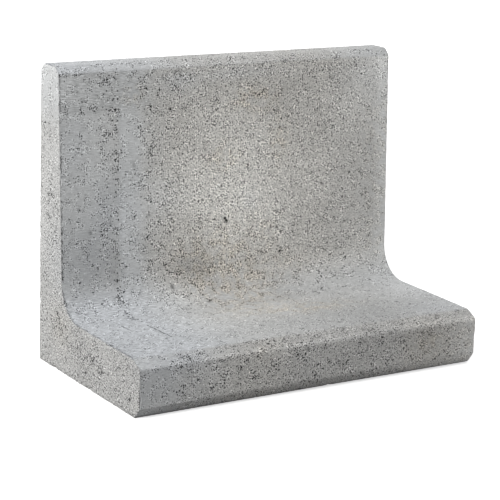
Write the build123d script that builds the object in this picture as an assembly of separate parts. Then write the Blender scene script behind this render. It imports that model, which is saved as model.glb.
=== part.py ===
from build123d import *

import os

# L-shaped retaining wall block, pressed in one piece from no-slump concrete.
#
# The block is one constant section drawn out along its length. An upright stem holds back the soil,
# and a foot under that soil keeps the stem from tipping. The mould is stripped along the length,
# so every bevel and round of the block lies in the section, and both ends are plain flat faces.
#
# Frame: +X along the length, +Y from the toe of the foot to the exposed back of the stem, +Z up.
# The origin is on the ground, at the middle of the length and of the depth. Millimetres.

# Overall size
length = 386.0
height = 300.0
depth = 210.0

# Wall thicknesses: the stem thickens downwards, and the foot thickens towards the stem
stem_thickness_top = 39.0
stem_thickness_root = 51.0
foot_thickness_toe = 56.0
foot_thickness_root = 57.5

# Haunch that carries the stem's load into the foot
haunch_radius = 35.0

# Bevels of the section, each as its run across the depth and its drop in height
crown_front_run = 7.0
crown_front_drop = 6.5
crown_back_run = 9.5
crown_back_drop = 6.0
toe_top_run = 14.0
toe_top_drop = 6.5
toe_base_run = 9.5
toe_base_drop = 11.0

# Rounds that soften the corners where a bevel meets its neighbours
crown_round = 2.0
toe_top_round = 6.0
toe_nose_round = 2.5
base_round = 2.5

# Places across the depth: the toe's nose, the stem's exposed back and the stem's inner face at its root
toe_y = -depth / 2
back_y = depth / 2
root_y = back_y - stem_thickness_root


def stem_thickness(z):
    """Thickness of the stem at a height, between its root on the foot and its top."""
    share = (z - foot_thickness_root) / (height - foot_thickness_root)
    return stem_thickness_root + share * (stem_thickness_top - stem_thickness_root)


def foot_thickness(y):
    """Thickness of the foot at a place across the depth, between its toe and the stem's root."""
    share = (y - toe_y) / (root_y - toe_y)
    return foot_thickness_toe + share * (foot_thickness_root - foot_thickness_toe)


def section_corners():
    """Corners of the section as (y, z, round), from under the toe round by the back and the crown."""
    crown_bevel_z = height - crown_front_drop
    toe_bevel_y = toe_y + toe_top_run
    return [
        (toe_y + toe_base_run, 0, base_round),
        (back_y, 0, base_round),
        (back_y, height - crown_back_drop, crown_round),
        (back_y - crown_back_run, height, crown_round),
        (back_y - stem_thickness_top + crown_front_run, height, crown_round),
        (back_y - stem_thickness(crown_bevel_z), crown_bevel_z, crown_round),
        (root_y, foot_thickness_root, haunch_radius),
        (toe_bevel_y, foot_thickness(toe_bevel_y), toe_top_round),
        (toe_y, foot_thickness_toe - toe_top_drop, toe_nose_round),
        (toe_y, toe_base_drop, base_round),
    ]


def block():
    """The whole block: its section drawn out to both sides of the middle."""
    corners = section_corners()
    points = [(y, z) for y, z, _ in corners]
    rounds = [corner_round for _, _, corner_round in corners]
    section = make_face(Plane.YZ * FilletPolyline(*points, radius=rounds, close=True))
    return extrude(section, amount=length / 2, both=True)


os.makedirs("parts", exist_ok=True)
retaining_block = block()
retaining_block.label = "retaining_block"
export_step(retaining_block, "parts/retaining_block.step")
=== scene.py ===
import math
import bpy
import numpy as np
from mathutils import Matrix, Vector, geometry, noise


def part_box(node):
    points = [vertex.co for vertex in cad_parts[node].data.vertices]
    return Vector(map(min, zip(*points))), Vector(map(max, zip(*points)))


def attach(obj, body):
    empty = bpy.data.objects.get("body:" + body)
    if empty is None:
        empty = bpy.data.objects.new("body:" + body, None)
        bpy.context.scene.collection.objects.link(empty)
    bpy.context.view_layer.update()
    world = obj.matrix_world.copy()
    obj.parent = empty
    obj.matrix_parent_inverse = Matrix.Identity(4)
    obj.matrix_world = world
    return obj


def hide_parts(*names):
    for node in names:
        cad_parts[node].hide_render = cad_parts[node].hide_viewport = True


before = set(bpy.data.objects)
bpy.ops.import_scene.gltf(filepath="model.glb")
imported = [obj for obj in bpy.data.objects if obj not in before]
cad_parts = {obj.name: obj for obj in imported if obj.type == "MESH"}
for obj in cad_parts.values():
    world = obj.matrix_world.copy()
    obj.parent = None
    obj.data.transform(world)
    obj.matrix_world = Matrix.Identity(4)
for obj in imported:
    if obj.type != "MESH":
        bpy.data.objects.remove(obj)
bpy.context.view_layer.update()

# The block
# One piece of no-slump concrete, pressed in a steel mould and stripped along its length while green.
# The mould drags a skin of cement paste along the long faces; the ends are open and sandy.
mm = 0.001
fine_step = 0.25 * mm
skin_step, corner_step = 2.4 * mm, 0.9 * mm
rim_steps = np.array([0.0, 0.6, 1.3, 2.3, 3.8]) * mm
crisp_corner, worn_crown, worn_toe = 0.8 * mm, 3.0 * mm, 6.0 * mm
corner_reach, corner_bend = 4 * mm, 0.03
crown_above = 200 * mm
wear_starts, wear_full = 60 * mm, 220 * mm
draws = np.random.default_rng(7)


def mould_outline(solid):
    """The section as a closed run of (y, z) points, walked anticlockwise along the solid's left end."""
    places = [tuple(round(c, 6) for c in v.co) for v in solid.data.vertices]
    left = min(p[0] for p in places)
    beside = {}
    for face in solid.data.polygons:
        rim = [places[i][1:] for i in face.vertices if places[i][0] == left]
        if abs(face.normal.x) < 0.5 and len(rim) == 2:
            beside.setdefault(rim[0], []).append(rim[1])
            beside.setdefault(rim[1], []).append(rim[0])
    run = [min(beside)]
    run.append(beside[run[0]][0])
    while len(run) < len(beside):
        run.append(next(p for p in beside[run[-1]] if p != run[-2]))
    run = np.array(run)
    after = np.roll(run, -1, axis=0)
    anticlockwise = np.sum(run[:, 0] * after[:, 1] - run[:, 1] * after[:, 0]) > 0
    return run if anticlockwise else run[::-1]


def even_run(points, step):
    """A closed run of points set out again at an even step."""
    closed = np.vstack([points, points[:1]])
    reach = np.concatenate([[0], np.cumsum(np.linalg.norm(np.diff(closed, axis=0), axis=1))])
    at = np.linspace(0, reach[-1], round(reach[-1] / step), endpoint=False)
    return np.stack([np.interp(at, reach, closed[:, k]) for k in range(2)], axis=1)


def eased(run, width):
    """A closed fine run with its corners eased over a width."""
    half = round(width / fine_step / 2)
    return sum(np.roll(run, k, axis=0) for k in range(-half, half + 1)) / (2 * half + 1)


def slope(run):
    """How a closed run changes from each point's neighbour before to its neighbour after."""
    return np.roll(run, -1, axis=0) - np.roll(run, 1, axis=0)


block_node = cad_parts["retaining_block"]
low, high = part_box("retaining_block")
fine = even_run(mould_outline(block_node), fine_step)
crisp = eased(fine, crisp_corner)
way = slope(crisp) / np.linalg.norm(slope(crisp), axis=1)[:, None]
corner = np.linalg.norm(eased(slope(way), corner_reach), axis=1) > corner_bend
count = np.cumsum(np.where(corner, fine_step / corner_step, fine_step / skin_step))
keep = np.searchsorted(count, np.arange(int(count[-1])) + 0.5)
worn = np.where(fine[:, 1:] > crown_above, eased(fine, worn_crown), eased(fine, worn_toe))[keep]
crisp = crisp[keep]
across = np.stack([way[keep, 1], -way[keep, 0]], axis=1)
run_at = keep * fine_step / mm
middle = np.arange(low.x + rim_steps[-1], high.x - rim_steps[-1], skin_step)
stations = np.concatenate([low.x + rim_steps[:-1], middle, (high.x - rim_steps)[::-1]])
wear = np.interp(stations - low.x, [wear_starts, wear_full], [0, 1])
rings, spokes = len(stations), len(crisp)
skin = np.empty((rings, spokes, 3))
skin[:, :, 0] = stations[:, None]
skin[:, :, 1:] = crisp + wear[:, None, None] * (worn - crisp)
faces = []
for i in range(rings - 1):
    for j in range(spokes):
        k = (j + 1) % spokes
        faces.append((i * spokes + j, (i + 1) * spokes + j, (i + 1) * spokes + k, i * spokes + k))


def inside(points, outline):
    """Which (y, z) points lie inside a closed outline."""
    y, z = points[:, 0][:, None], points[:, 1][:, None]
    a, b = outline, np.roll(outline, -1, axis=0)
    spans = (a[:, 1] > z) != (b[:, 1] > z)
    rise = np.where(b[:, 1] == a[:, 1], 1e-12, b[:, 1] - a[:, 1])
    crossing = (b[:, 0] - a[:, 0]) * (z - a[:, 1]) / rise + a[:, 0]
    return np.sum(spans & (y < crossing), axis=1) % 2 == 1


def end_points(outline):
    """Points over an end face: a row that follows its rim and a loose field inside it."""
    y, z = np.meshgrid(np.arange(low.y, high.y, skin_step), np.arange(low.z, high.z, skin_step))
    field = np.stack([y.ravel(), z.ravel()], axis=1)
    field += draws.uniform(-0.3, 0.3, field.shape) * skin_step
    field = field[inside(field, outline)]
    gap = np.min(np.linalg.norm(field[:, None] - outline[None], axis=2), axis=1)
    return np.vstack([outline - across * rim_steps[1], field[gap > rim_steps[3]]])


points = [skin.reshape(-1, 3)]
outs = [np.tile(np.column_stack([np.zeros(spokes), across]), (rings, 1))]
spoke_of = [np.tile(np.arange(spokes), rings)]
rim_gap = [np.repeat(np.minimum(stations - low.x, high.x - stations), spokes)]
for end, side in ((0, -1), (rings - 1, 1)):
    outline = skin[end, :, 1:]
    extra = end_points(outline)
    rim = [(j, (j + 1) % spokes) for j in range(spokes)]
    made = geometry.delaunay_2d_cdt([Vector(p) for p in np.vstack([outline, extra])], rim, [], 1, 1e-7)
    first = sum(len(p) for p in points)
    index = [end * spokes + j for j in range(spokes)] + [first + k for k in range(len(extra))]
    origin = [index[o[0]] for o in made[3]]
    for triangle in made[2]:
        corners = [origin[v] for v in triangle]
        faces.append(corners if side > 0 else corners[::-1])
    away = np.linalg.norm(extra[:, None] - outline[None], axis=2)
    points.append(np.column_stack([np.full(len(extra), stations[end]), extra]))
    outs.append(np.tile((side, 0.0, 0.0), (len(extra), 1)))
    spoke_of.append(np.argmin(away, axis=1))
    rim_gap.append(np.min(away, axis=1))
points, outs = np.vstack(points), np.vstack(outs)
spoke_of, rim_gap = np.concatenate(spoke_of), np.concatenate(rim_gap) / mm

# Where the skin is rich in paste, pitted, tan, or darker or lighter (its own tone and painted light and
# shade): places are in mm, and u counts from the left end
place = (points - (low.x, 0, 0)) / mm
u, y, z = place.T
length = (high.x - low.x) / mm


def ramp(values, start, stop):
    """From 0 at one value to 1 at another, with soft ends."""
    share = np.clip((values - start) / (stop - start), 0, 1)
    return share * share * (3 - 2 * share)


def band(values, *stops):
    """A value that changes evenly between stops, given as place, value, place, value and so on."""
    return np.interp(values, stops[0::2], stops[1::2])


def spot(middle_of, reach):
    """A soft patch, 1 in its middle, with a reach in mm along each axis."""
    return np.exp(-np.sum(((place - middle_of) / reach) ** 2, axis=1))


def patches(*spots):
    """Some soft patches together, each given as its strength, its middle and its reach."""
    return sum(strength * spot(middle_of, reach) for strength, middle_of, reach in spots)


def line(values, middle_of, reach):
    """A soft line along one value, 1 in its middle."""
    return np.exp(-((values - middle_of) / reach) ** 2)


end_face = (np.abs(outs[:, 0]) > 0.5) * 1.0
under = (1 - end_face) * ramp(-outs[:, 2], 0.8, 0.95)
back = (1 - end_face) * ramp(outs[:, 1], 0.3, 0.8)
inner = (1 - end_face) * (1 - under) * (1 - back)
crown = inner * ramp(z, 291, 294)
stem = inner * ramp(z, 58, 90) - crown
toe = inner * ramp(-z, -52.5, -49)
bevel = inner * ramp(-y, 88, 93) * ramp(-z, -60, -57) - toe
foot = inner - stem - crown - toe - bevel
haunch = (stem + foot) * line(z, 70, 16) * ramp(y, 0, 20)
on_left = u < length / 2

# The smeared strip along the top left and its lower edge, the row of pits where two smears meet, and the
# edge of the open sand
drag_top = stem * ramp(z, 255, 259) * band(u, 0, 1, 90, 1, 115, 0)
astray = np.array([noise.noise(Vector((3, 7, v / 16))) for v in z])
broken = ramp(np.array([noise.noise(Vector((9, 4, v / 7))) for v in z]), -0.25, 0.25)
seam = line(u - 1.5 * astray, 60.5, 2.4) * ramp(-u, -65, -62.5) * (0.35 + 0.65 * broken)
seam *= band(z, 112, 1.5, 128, 0.3, 150, 0.3, 160, 1, 238, 1, 248, 0.3)
seam += patches((0.6, (50.5, 65, 285), (3.5, 30, 7)), (0.6, (59.5, 64, 270), (4, 30, 4.5)))
smear_edge = line(z - band(u, 0, 259.5, 30, 256.5), 0, 3.2) * band(u, 0, 0.6, 8, 1, 55, 1, 68, 0)
shore = line(u + 9 * astray, 97, 6)

stem_paste = band(u + 5 * astray, 0, 0.95, 35, 0.9, 52, 0.8, 62, 0.7, 66, 1, 84, 0.95, 96, 0.5, 125, 0.1,
                  300, 0.1, 345, 0.3, 372, 0.6, length, 0.9)
paste = (stem * np.maximum(stem_paste, 0.9 * drag_top)
         + crown * band(u, 0, 0.95, 90, 0.8, 140, 0.4, 280, 0.3, 330, 0.7, length, 0.9)
         + foot * band(u, 0, 1, 60, 0.95, 130, 0.75, length, 0.8)
         + bevel * band(u, 0, 1, 30, 0.9, 80, 0.5, 150, 0.2, 330, 0.2, length, 0.5)
         + toe * band(u, 0, 0.9, 30, 0.85, 50, 0.25, 330, 0.2, length, 0.6)
         + end_face * band(z, 60, 0, 160, 0.25, 235, 0.3, 262, 0.75, 300, 0.8) + 0.4 * back + 0.2 * under)
drag = paste * (0.45 * stem + foot * band(u, 180, 1, 280, 0.65) + 0.7 * bevel + 0.35 * toe + 0.6 * crown)
drag += 0.4 * drag_top
drag = np.clip(drag, 0, 1)

stem_pitting = (band(u, 0, 0.5, 3, 0.10, 30, 0.14, 46, 0.3, 57, 0.5, 63, 0.6, 65, 0.02, 82, 0.04, 88, 0.5,
                     112, 0.85, 300, 0.8, 350, 0.6, 372, 0.2, length, 0.1)
                + 3 * seam + 0.9 * shore + 2.5 * smear_edge
                + 1.4 * line(z, 291.5, 1.5) * band(u, 0, 1, 60, 0.6, 80, 0)
                + patches((1.5, (22, 62, 233), (9, 30, 6)), (1.0, (52, 62, 236), (9, 30, 12)),
                          (1.0, (55, 60, 180), (7, 30, 18)), (1.0, (48, 58, 140), (9, 30, 14)),
                          (0.8, (115, 58, 120), (25, 30, 55)), (0.6, (190, 57, 112), (60, 30, 28)),
                          (0.3, (200, 64, 284), (90, 30, 12))))
foot_pitting = (0.06 + 0.3 * ramp(-y, 55, 90) * ramp(u, 100, 180) + 1.5 * seam * ramp(y, 0, 15)
                + 0.7 * ramp(y, 0, 20) * band(u, 100, 0, 140, 1, 290, 0.8, 330, 0))
end_pitting = (band(z, 0, 0.8, 60, 0.8, 120, 0.45, 200, 0.6, 245, 0.6, 262, 0.15, 300, 0.1)
               + patches((2.2, (0, 80, 160), (30, 13, 26)), (1.3, (0, 60, 46), (30, 20, 14)),
                         (1.0, (0, 20, 36), (30, 18, 12)), (1.1, (0, -20, 28), (30, 22, 12)),
                         (0.8, (0, 93, 234), (30, 10, 14)), (0.8, (0, 91, 82), (30, 10, 14))))
pitting = (stem * stem_pitting + foot * foot_pitting + end_face * end_pitting
           + crown * band(u, 0, 0.25, 100, 0.35, 150, 0.7, 290, 0.6, 330, 0.3, length, 0.15)
           + bevel * band(u, 0, 0.15, 20, 0.3, 30, 0.9, 45, 0.4, 90, 0.5, 150, 0.9, 330, 0.8, length, 0.5)
           + toe * band(u, 0, 0.05, 22, 0.12, 45, 0.7, 100, 1.2, 325, 0.9, 345, 0.5, length, 0.1)
           + patches((3.0, (50, -101, 50), (9, 8, 5)), (1.5, (44, -105, 24), (9, 9, 10)),
                     (2.5, (176, -102, 50), (9, 8, 6)))
           + 0.5 * back + 0.8 * under)
toe_flecks = patches((0.35, (48, -105, 48), (8, 30, 5)), (0.35, (146, -103, 51), (9, 30, 5)),
                     (0.3, (177, -105, 47), (7, 30, 5)), (0.3, (144, -105, 32), (8, 30, 8)),
                     (0.25, (222, -105, 27), (9, 30, 7)), (0.25, (198, -105, 19), (10, 30, 6)),
                     (0.25, (297, -105, 31), (9, 30, 8)), (0.2, (321, -105, 47), (9, 30, 5)),
                     (0.25, (43, -105, 20), (7, 30, 7)), (0.2, (238, -105, 36), (12, 30, 7)))
end_flecks = patches((0.35, (0, 60, 46), (30, 18, 12)), (0.3, (0, 20, 36), (30, 18, 10)),
                     (0.3, (0, -20, 28), (30, 20, 10)), (0.3, (0, 80, 160), (30, 12, 20)),
                     (0.25, (0, 93, 234), (30, 8, 12)), (0.2, (0, 91, 82), (30, 8, 12)))
coarse = ((stem + foot * ramp(y, 0, 15)) * 0.6 * seam + (toe + bevel) * toe_flecks
          + end_face * on_left * end_flecks)

tan = patches((1.3, (220, 63, 257), (26, 30, 13)), (1.1, (165, 56, 95), (50, 30, 24)),
              (0.3, (197, 57, 120), (40, 30, 30)), (1.2, (192, 45, 72), (44, 35, 16)),
              (0.5, (200, 28, 58), (40, 16, 10)), (0.6, (190, -5, 57), (60, 22, 14)),
              (0.9, (245, -22, 57), (45, 15, 12)), (0.4, (235, 57, 118), (10, 30, 20)),
              (0.4, (262, 55, 85), (24, 20, 14)), (0.5, (82, 64, 268), (14, 30, 12)),
              (0.9, (183, 61, 200), (18, 30, 14)), (0.9, (250, 62, 213), (12, 30, 24)),
              (0.4, (133, -103, 48), (12, 8, 8)), (0.8, (325, -105, 30), (22, 10, 16)),
              (0.3, (20, -102, 10), (18, 10, 8)), (0.3, (0, 58, 45), (10, 20, 22)))
bluish = patches((0.35, (30, 57, 110), (40, 30, 40)), (0.5, (54, 58, 160), (22, 30, 36)),
                 (0.3, (15, 62, 225), (14, 30, 30)), (0.4, (130, 65, 280), (22, 30, 14)),
                 (0.3, (195, 65, 284), (50, 30, 8)), (0.25, (112, 59, 165), (28, 30, 18)),
                 (0.25, (105, 55, 85), (34, 30, 14)), (0.25, (214, 59, 150), (14, 30, 14)),
                 (0.4, (40, -100, 50), (35, 12, 10)), (0.35, (362, 65, 275), (30, 30, 30)),
                 (0.3, (350, -75, 57), (30, 20, 10)))
bluish += (foot * band(u, 0, 1, 70, 0.9, 120, 0.2, 150, 0, 320, 0, 380, 0.3)
           + crown * band(u, 0, 0.8, 100, 0.4, 130, 0.15, 250, 0.1, 330, 0)
           + (bevel + toe) * band(u, 0, 0.3, 60, 0.4, 100, 0.05, 140, 0, 180, 0.2, 280, 0.2, 340, 0)
           + end_face * band(z, 40, 0.35, 120, 0.3, 300, 0.1))
warmth = tan - bluish + 0.3 * toe * ramp(u, 330, length) + 0.3 * stem * ramp(u, 320, 380)

# The stem's tone holds painted light: a broad lighter pool in its middle, and painted shade low on the
# left
stem_tone_and_painted_light = (1 + 0.10 * band(u, 64, 0, 70, 1, 88, 1, 96, 0) * band(z, 90, 0, 110, 1, 250, 1, 260, 0)
             + 0.22 * ramp(u, 366, 378) - 0.13 * smear_edge
             - 0.2 * line(z, 291.8, 1.4) * band(u, 0, 1, 40, 0.8, 58, 0)
             + patches((0.28, (203, 60, 178), (85, 60, 70)), (0.10, (165, 59, 165), (60, 30, 28)),
                       (0.28, (376, 65, 290), (16, 30, 22)), (0.08, (362, 64, 250), (25, 30, 40)),
                       (0.13, (355, 64, 262), (35, 30, 40)), (0.13, (335, 63, 235), (14, 30, 14)),
                       (0.11, (210, 58, 140), (45, 30, 40)), (0.12, (218, 61, 202), (20, 30, 20)),
                       (0.06, (30, 62, 235), (30, 30, 50)), (0.05, (20, 62, 219), (14, 30, 14)),
                       (0.13, (115, 58, 163), (17, 30, 26)), (0.07, (67, 58, 150), (6, 30, 24)),
                       (0.07, (310, 58, 148), (20, 30, 14)), (0.06, (298, 59, 167), (14, 30, 12)),
                       (0.05, (185, 57, 118), (35, 30, 18)), (0.08, (165, 62, 238), (30, 30, 22)),
                       (0.08, (205, 65, 288), (50, 30, 8)), (0.12, (272, 65, 286), (38, 30, 9)),
                       (0.10, (338, 54, 72), (28, 20, 10)))
             - patches((0.18, (27, 57, 108), (45, 40, 45)), (0.07, (115, 58, 120), (30, 30, 50)),
                       (0.07, (112, 64, 270), (26, 30, 26)), (0.05, (70, 64, 276), (22, 30, 16)),
                       (0.07, (62, 64, 263), (30, 30, 11)), (0.13, (250, 64, 266), (28, 30, 22)),
                       (0.22, (155, 55, 91), (22, 20, 16)), (0.08, (135, 55, 92), (24, 20, 16)),
                       (0.07, (57, 57, 104), (12, 30, 30)), (0.10, (58, 55, 90), (8, 20, 22)),
                       (0.09, (86, 57, 116), (12, 30, 18)), (0.08, (118, 62, 212), (14, 30, 14)),
                       (0.05, (188, 64, 268), (24, 30, 9)), (0.10, (252, 63, 222), (18, 30, 16)),
                       (0.06, (30, 60, 177), (30, 30, 16)), (0.06, (314, 57, 115), (16, 30, 16)),
                       (0.04, (300, 56, 92), (25, 25, 12)), (0.03, (310, 58, 140), (40, 30, 30))))
# Painted shade: the foot darkens towards the toe
toe_painted_shade = band(u, 0, 0.03, 60, 0.06, 150, 0.14, 290, 0.24, 340, 0.18, length, 0.1)
foot_tone_and_painted_shade = (1 - ramp(-y, -10, 70) * toe_painted_shade
             + patches((0.08, (372, 10, 57), (20, 40, 12)), (0.07, (75, -28, 57), (22, 16, 10)),
                       (0.05, (110, -46, 57), (26, 12, 10)))
             - patches((0.06, (248, -40, 57), (20, 14, 10)), (0.12, (255, -9, 57), (28, 14, 12)),
                       (0.05, (212, 20, 57), (55, 18, 10)), (0.08, (12, -60, 57), (14, 26, 12))))
# Painted shadow along the toe's bottom edge where it meets the floor, and painted light on the downward
# base bevel above it
toe_tone_and_painted_light = (band(z, 0, 0.25, 1.5, 0.55, 3, 1.2, 9, 1.2, 12, 1) - 0.15 * line(u, 0, 2.5)
            + 0.34 * ramp(u, 200, 320) * band(z, 2, 0, 4, 1, 10, 1, 13, 0)
            + patches((0.2, (163, -105, 44), (14, 10, 9)), (0.08, (70, -105, 40), (20, 10, 10)),
                      (0.10, (228, -105, 17), (18, 10, 6)), (0.15, (12, -102, 9), (14, 10, 6)),
                      (0.10, (117, -105, 43), (14, 10, 7)), (0.08, (88, -105, 32), (12, 10, 9)),
                      (0.10, (241, -105, 38), (16, 10, 9)), (0.10, (275, -105, 17), (26, 10, 6)),
                      (0.10, (346, -105, 16), (10, 10, 6)))
            - patches((0.05, (305, -105, 42), (22, 10, 10)), (0.08, (180, -103, 51), (9, 8, 5))))
# The end face's painted light: lighter towards the back and, with the band below, towards the top
end_tone_and_painted_light = (band(y, -105, 0.90, -40, 0.95, 20, 0.98, 60, 1.0, 105, 1.1)
            + patches((0.08, (0, -90, 30), (10, 14, 26)), (0.06, (0, -8, 45), (10, 12, 10)),
                      (-0.08, (0, 78, 159), (10, 10, 14))))
# Painted shade and light: the crown, bevel, toe and right of the foot darker, the end face lighter up
# top, the haunch darker
tone_and_painted_light = (stem * stem_tone_and_painted_light
        + crown * band(u, 0, 0.965, 150, 0.91, 250, 0.89, length, 0.91)
        + foot * foot_tone_and_painted_shade * band(u, 0, 1.03, 100, 1.06, 200, 1.02, 300, 0.945, length, 0.965)
        + bevel * band(u, 0, 0.86, 60, 0.78, 150, 0.68, 290, 0.69, length, 0.72)
        + toe * toe_tone_and_painted_light * band(u, 0, 0.88, 150, 0.84, 280, 0.77, 350, 0.86, length, 1.15)
        + end_face * end_tone_and_painted_light * band(z, 0, 0.90, 60, 0.92, 120, 1.0, 200, 1.02, 300, 1.15)
        - haunch * band(u, 0, 0.09, 70, 0.09, 110, 0.07, 150, 0.18, 240, 0.18, 285, 0.02)
        + back + under)

# Painted shade: dark dots along the left arris, where its chips hold shadow. The hairline on the foot is
# painted as how far off it a point is in mm
arris_painted_shade = on_left * line(rim_gap, 0.9, 0.8) * (draws.random(len(points)) > 0.6)
tone_and_painted_light -= 0.9 * arris_painted_shade * (stem * band(z, 200, 1, 260, 0.75) + 0.75 * foot)
off_hairline, far_off = u - 61.6 + (y + 5) * 0.073, 9
hairline = np.where(foot * ramp(-y, 2, 4) * ramp(y, -50, -46) > 0.5, off_hairline, far_off)

# What the surface lost: a little everywhere as it dried, grains off the open faces, chips off the arrises
lumps = np.array([noise.noise(Vector(p) / 45) for p in place])
stains = np.array([noise.noise(Vector((p[0] / 150, p[1] / 60, p[2] / 45))) for p in place])
tone_and_painted_light += (0.12 * stains + 0.08 * lumps) * (back + under + end_face * (u > length / 2))
shrinkage, grain_loss = 0.12, 0.08
loss = shrinkage * (1 + lumps) + grain_loss * draws.random(len(points)) * pitting
deep_pits = [(185.4, 57.6, 136.4, 1.5), (187.2, 57.5, 133.6, 1.3), (122, 63.6, 252, 1.2),
             (252, 55.9, 95, 1.4), (0, -85, 15, 1.5), (0, -29, 25, 1.5), (0, 4, 15, 1.3)]
pit_flare, small_holes, smallest_hole, largest_hole = 0.8, 160, 1.2, 2.2
hole_rim, hole_depth, hole_shade = 0.9, 0.55, 0.45
holes = [(*at, radius + pit_flare) for *at, radius in deep_pits]
for chance in draws.choice(len(points), small_holes, replace=False, p=pitting / pitting.sum()):
    holes.append((*place[chance], draws.uniform(smallest_hole, largest_hole)))
# Each hole sinks the surface and is darkened with painted shade in its hollow
for *at, radius in holes:
    away = np.linalg.norm(place - at, axis=1) / (radius + hole_rim)
    dip = np.clip(1 - away ** 2, 0, None)
    loss += hole_depth * radius * dip
    tone_and_painted_light -= hole_shade * dip
points -= outs * loss[:, None] * mm
least_chip, chip_reach = 0.15, 4
for here, inward, ragged, chips, deepest in ((on_left, 1, 0.5, 36, 1.3), (~on_left, -1, 0.2, 12, 0.7)):
    chip = least_chip + ragged * draws.random(spokes)
    for _ in range(chips):
        away = np.abs(run_at - draws.uniform(0, run_at[-1])) / draws.uniform(1.5, 4.0)
        chip += draws.uniform(0.3, deepest) * np.exp(-away ** 2)
    cut = here * chip[spoke_of] * np.clip(1 - rim_gap / chip_reach, 0, 1) * mm
    points[:, 0] += inward * cut * (1 - end_face)
    points[:, 1:] -= across[spoke_of] * (cut * np.maximum(end_face, rim_gap < 1e-6))[:, None]

mesh = bpy.data.meshes.new("concrete_block")
mesh.from_pydata([tuple(p) for p in points], [], faces)
mesh.shade_smooth()
painting = {"paste": paste, "pitting": pitting, "coarse": coarse, "drag": drag, "warmth": warmth,
            "tone_and_painted_light": tone_and_painted_light, "hairline": hairline}
for name, values in painting.items():
    mesh.attributes.new(name, "FLOAT", "POINT").data.foreach_set("value", values.astype(np.float32))

# The skin laid flat in mm, with the two ends beside it: grain and pits are drawn on this sheet
sheet_span, ends_along, right_end_up = 1020, length + 125, 320
girth = len(fine) * fine_step / mm
at_corner = np.array([v for face in faces for v in face])
laid = np.column_stack([u[at_corner], run_at[spoke_of[at_corner]]])
on_skin = np.arange(4 * (rings - 1) * spokes)
closing = (on_skin // 4 % spokes == spokes - 1) & (on_skin % 4 > 1)
laid[:len(on_skin)][closing, 1] += girth
ends = at_corner[len(on_skin):]
lifted = right_end_up * (u[ends] > length / 2)
laid[len(on_skin):] = np.column_stack([y[ends] + ends_along, z[ends] + lifted])
mesh.uv_layers.new(name="OFBake").data.foreach_set("uv", (laid / sheet_span).astype(np.float32).ravel())
block = bpy.data.objects.new("concrete_block", mesh)
bpy.context.collection.objects.link(block)

concrete = bpy.data.materials.new("concrete")
concrete.use_nodes = True
shader = concrete.node_tree.nodes["Principled BSDF"]
sandy, pasty = (0.525, 0.511, 0.484, 1), (0.480, 0.489, 0.492, 1)
cold, buff = (0.455, 0.470, 0.490, 1), (0.528, 0.499, 0.449, 1)
grain_gap, sand_gap, white_gap = 2.2, 0.8, 2.5
pit_gap, wide_pit_gap, coarse_gap, dash_gap = 2.1, 4.5, 3.0, 1.9
jolt_reach, streak_stretch, dash_stretch = (0.45, 0.45, 0), (0.11, 1, 1), (0.4, 1, 1)
pit_painted_shade, crack_dark, darkest = 0.98, 0.7, 0.03


def node(kind, joins, **settings):
    """A node of the concrete: its settings, and each input joined to an output or set to a value."""
    made = concrete.node_tree.nodes.new(kind)
    for name, value in settings.items():
        setattr(made, name, value)
    for name, value in joins.items():
        if isinstance(value, bpy.types.NodeSocket):
            concrete.node_tree.links.new(value, made.inputs[name])
        else:
            made.inputs[name].default_value = value
    return made.outputs


def sums(operation, first, second):
    """Two numbers or outputs put together by one operation."""
    return node("ShaderNodeMath", {0: first, 1: second}, operation=operation)[0]


def fade(value, start, stop, at_start=0.0, at_stop=1.0):
    """One value at the start, another at the stop, and an even change between them."""
    joins = {"Value": value, "From Min": start, "From Max": stop, "To Min": at_start, "To Max": at_stop}
    return node("ShaderNodeMapRange", joins)["Result"]


def blend(share, first, second):
    """One colour that gives way to another."""
    return node("ShaderNodeMix", {0: share, 6: first, 7: second}, data_type="RGBA")[2]


def painted(name):
    """What was painted on the mesh under a name."""
    return node("ShaderNodeAttribute", {}, attribute_name=name)["Fac"]


def cells(spread, spacing):
    """Loose cells of a spacing in mm: how far off each one's middle is, and three chances of its own."""
    made = node("ShaderNodeTexVoronoi", {"Vector": spread, "Scale": 1 / spacing}, voronoi_dimensions="2D")
    chances = node("ShaderNodeSeparateColor", {"Color": made["Color"]})
    return sums("MULTIPLY", made["Distance"], spacing), chances["Red"], chances["Green"], chances["Blue"]


def cloud(spread, size, detail):
    """Soft clouds of a size in mm."""
    joins = {"Vector": spread, "Scale": 1 / size, "Detail": detail}
    return node("ShaderNodeTexNoise", joins, noise_dimensions="2D")


def speckle(spread, spacing, share, smallest, largest):
    """Crooked dots in a share of the cells of a spacing, each with a radius of its own, in mm."""
    away, chance, size, _ = cells(spread, spacing)
    dot = fade(sums("SUBTRACT", fade(size, 0, 1, smallest, largest), away), -0.05, 0.1)
    return sums("MULTIPLY", dot, sums("LESS_THAN", chance, share))


def changed(light, share):
    """The skin's lightness with a change that is given as a share of it."""
    return sums("MULTIPLY", light, sums("ADD", 1.0, share))


flat = node("ShaderNodeUVMap", {}, uv_map="OFBake")["UV"]
sheet = node("ShaderNodeVectorMath", {0: flat, 3: sheet_span}, operation="SCALE")[0]
dragged = node("ShaderNodeVectorMath", {0: sheet, 1: streak_stretch}, operation="MULTIPLY")[0]
streaks = cloud(dragged, 0.8, 2.0)["Fac"]
clumps = cloud(sheet, 10.5, 3.0)["Fac"]
mottle = cloud(sheet, 45.0, 4.0)["Fac"]
grit = cloud(sheet, 0.5, 0.0)["Fac"]
jolts = cloud(sheet, 0.9, 1.0)["Color"]
crooked = node("ShaderNodeVectorMath", {0: jolts, 1: jolt_reach, 2: sheet}, operation="MULTIPLY_ADD")[0]

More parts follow.
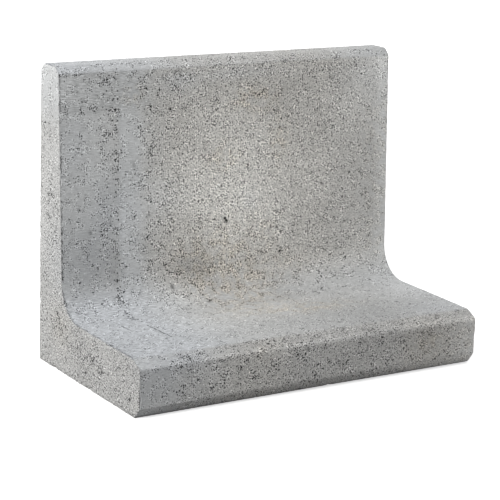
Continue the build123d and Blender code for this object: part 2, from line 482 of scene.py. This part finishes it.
even = fade(clumps, 0.42, 0.68, 0.3, 2.4)
clustered = fade(clumps, 0.50, 0.64, 0.05, 3.2)
crowd = node("ShaderNodeMix", {0: painted("paste"), 2: even, 3: clustered}, data_type="FLOAT")[0]
crowd = sums("MULTIPLY", painted("pitting"), crowd)
small_pits = speckle(crooked, pit_gap, sums("MULTIPLY", crowd, 0.16), 0.5, 0.8)
wide_pits = speckle(crooked, wide_pit_gap, fade(crowd, 0.3, 6.0, 0.0, 0.45), 0.6, 1.05)
coarse_pits = speckle(crooked, coarse_gap, painted("coarse"), 0.6, 1.05)
dashed = node("ShaderNodeVectorMath", {0: crooked, 1: dash_stretch}, operation="MULTIPLY")[0]
scored = sums("MULTIPLY", painted("drag"), fade(clumps, 0.46, 0.62, 0.0, 0.22))
dashes = speckle(dashed, dash_gap, scored, 0.34, 0.6)
pit = sums("MAXIMUM", sums("MAXIMUM", small_pits, wide_pits), sums("MAXIMUM", coarse_pits, dashes))
for pit_u, pit_y, pit_z, radius in deep_pits:
    spoke = np.argmin(np.hypot(crisp[:, 0] / mm - pit_y, crisp[:, 1] / mm - pit_z))
    on_sheet = (pit_u, run_at[spoke], 0) if pit_u else (pit_y + ends_along, pit_z, 0)
    gap = node("ShaderNodeVectorMath", {0: crooked, 1: on_sheet}, operation="DISTANCE")["Value"]
    pit = sums("MAXIMUM", pit, fade(gap, radius + 0.1, radius - 0.2))
white = speckle(crooked, white_gap, 0.08, 0.35, 0.65)
wander = sums("ADD", painted("hairline"), fade(clumps, 0.3, 0.7, -1.5, 1.5))
crack = fade(sums("ABSOLUTE", wander, 0.0), 0.9, 0.4)
calm = fade(painted("paste"), 0.0, 1.0, 0.75, 0.15)
rough = fade(painted("paste"), 0.0, 1.0, 1.1, 1.5)
patchy = fade(clumps, 0.44, 0.56, calm, rough)
open_skin = sums("MULTIPLY", fade(painted("paste"), 1.0, 0.0, 0.5, 1.0), patchy)

body = blend(painted("paste"), sandy, pasty)
body = blend(fade(painted("warmth"), 0, -1), body, cold)
tan_share = sums("MULTIPLY", fade(painted("warmth"), 0, 1), fade(clumps, 0.36, 0.6))
body = blend(tan_share, body, buff)
from_grain, depth, _, _ = cells(sheet, grain_gap)
grain = fade(from_grain, 0.35, 0.75, -1, 0.2)
dark_grains = sums("MULTIPLY", grain, fade(sums("POWER", depth, 2.0), 0, 1, 0.0, 2.2))
_, shade, _, _ = cells(sheet, sand_gap)
salt = sums("ADD", dark_grains, fade(shade, 0, 1, -0.53, 0.47))
light = sums("MULTIPLY", painted("tone_and_painted_light"), fade(mottle, 0.3, 0.7, 0.965, 1.065))
light = changed(light, sums("MULTIPLY", open_skin, salt))
light = changed(light, sums("MULTIPLY", painted("drag"), fade(streaks, 0.3, 0.7, -0.38, 0.38)))
# Pits are darkened almost to black: painted shade inside the holes
light = changed(light, sums("MULTIPLY", pit, -pit_painted_shade))
light = changed(light, sums("MULTIPLY", crack, -crack_dark))
white_light = sums("MULTIPLY", white, fade(painted("paste"), 0.0, 1.0, 0.8, 0.5))
light = sums("MAXIMUM", darkest, sums("ADD", light, white_light))
colour = node("ShaderNodeVectorMath", {0: body, 3: light}, operation="SCALE")[0]
concrete.node_tree.links.new(colour, shader.inputs["Base Color"])
dull = sums("ADD", fade(painted("paste"), 0.0, 1.0, 0.95, 0.8), fade(grit, 0.3, 0.7, -0.04, 0.04))
concrete.node_tree.links.new(dull, shader.inputs["Roughness"])
height = sums("SUBTRACT", sums("MULTIPLY", grit, open_skin), pit)
height = sums("ADD", height, sums("MULTIPLY", streaks, sums("MULTIPLY", painted("drag"), 0.4)))
bump = node("ShaderNodeBump", {"Strength": 0.5, "Distance": 0.35 * mm, "Height": height})["Normal"]
concrete.node_tree.links.new(bump, shader.inputs["Normal"])
shader.inputs["Specular IOR Level"].default_value = 0.3

mesh.materials.append(concrete)
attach(block, "root")
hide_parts("retaining_block")

# The floor
# A plain pale studio floor, wide enough to fill every view behind the block. Seen, it is white with the
# block's soft shadow; what it throws back on the block is the light of a greyer floor.
floor_reach = 30.0
floor_bounce, floor_white, floor_glow = 0.25, 0.9, 0.53
floor_mesh = bpy.data.meshes.new("floor")
floor_sides = ((-1, -1), (1, -1), (1, 1), (-1, 1))
floor_corners = [(across_floor * floor_reach, along_floor * floor_reach, 0)
                 for across_floor, along_floor in floor_sides]
floor_mesh.from_pydata(floor_corners, [], [(0, 1, 2, 3)])
floor = bpy.data.objects.new("floor", floor_mesh)
bpy.context.collection.objects.link(floor)
floor_paint = bpy.data.materials.new("floor_paint")
floor_paint.use_nodes = True
floor_tree = floor_paint.node_tree
floor_shader = floor_tree.nodes["Principled BSDF"]
floor_shader.inputs["Roughness"].default_value = 1.0
floor_shader.inputs["Specular IOR Level"].default_value = 0.0
floor_shader.inputs["Emission Color"].default_value = (1, 1, 1, 1)


def when_seen(tree, unseen_value, seen_value):
    """One value for rays that light the object, another for rays from the camera, a mirror or a glass."""
    ray = tree.nodes.new("ShaderNodeLightPath")
    share = ray.outputs["Is Camera Ray"]
    for name in ("Is Glossy Ray", "Is Transmission Ray"):
        either = tree.nodes.new("ShaderNodeMath")
        either.operation = "MAXIMUM"
        tree.links.new(share, either.inputs[0])
        tree.links.new(ray.outputs[name], either.inputs[1])
        share = either.outputs[0]
    choice = tree.nodes.new("ShaderNodeMapRange")
    tree.links.new(share, choice.inputs["Value"])
    choice.inputs["To Min"].default_value = unseen_value
    choice.inputs["To Max"].default_value = seen_value
    return choice.outputs["Result"]


floor_tree.links.new(when_seen(floor_tree, floor_bounce, floor_white), floor_shader.inputs["Base Color"])
floor_tree.links.new(when_seen(floor_tree, 0.0, floor_glow), floor_shader.inputs["Emission Strength"])
floor_mesh.materials.append(floor_paint)

# The light
# A white room, a big softbox high on the left, a weaker one level with the end, a little from above, and
# a low one behind for the sides that those three don't reach.
room_light, room_white = 0.54, 1.0
lamps_aim = Vector((0, 0, 0.12))
world = bpy.data.worlds.new("studio")
bpy.context.scene.world = world
world.use_nodes = True
room = world.node_tree
sky = room.nodes["Background"]
sky.inputs["Color"].default_value = (1, 1, 1, 1)
room.links.new(when_seen(room, room_light, room_white), sky.inputs["Strength"])
bpy.context.scene.view_settings.view_transform = "Standard"


def softbox(name, stand, size, power):
    """A square studio lamp that looks from its stand at the block."""
    lamp = bpy.data.lights.new(name, "AREA")
    lamp.size = size
    lamp.energy = power
    held = bpy.data.objects.new(name, lamp)
    held.location = stand
    held.rotation_euler = (lamps_aim - Vector(stand)).to_track_quat("-Z", "Y").to_euler()
    bpy.context.collection.objects.link(held)


softbox("left_high", (-2.4, -1.2, 2.0), 1.5, 57.6)
softbox("left_side", (-2.8, 0.2, 1.2), 1.5, 22.8)
softbox("overhead", (0, -0.2, 2.8), 2.0, 11.4)
softbox("back_low", (1.4, 2.9, 0.7), 1.5, 30.0)

# The camera
# At the photograph's place, turned a little so that the block leans as it does there.
camera_place = Vector((-0.96100, -1.49922, 0.56855))
yaw, pitch, roll = (math.radians(a) for a in (32.29, 14.26, 1.94))
forward = Vector((math.sin(yaw) * math.cos(pitch), math.cos(yaw) * math.cos(pitch), -math.sin(pitch)))
level = Vector((math.cos(yaw), -math.sin(yaw), 0))
rise = level.cross(forward)
right = math.cos(roll) * level + math.sin(roll) * rise
up = math.cos(roll) * rise - math.sin(roll) * level
camera = bpy.data.objects.new("camera", bpy.data.cameras.new("camera"))
camera.data.sensor_width = 36
camera.data.lens = 132.96
camera.matrix_world = Matrix((right, up, -forward)).transposed().to_4x4()
camera.location = camera_place
bpy.context.collection.objects.link(camera)
bpy.context.scene.camera = camera
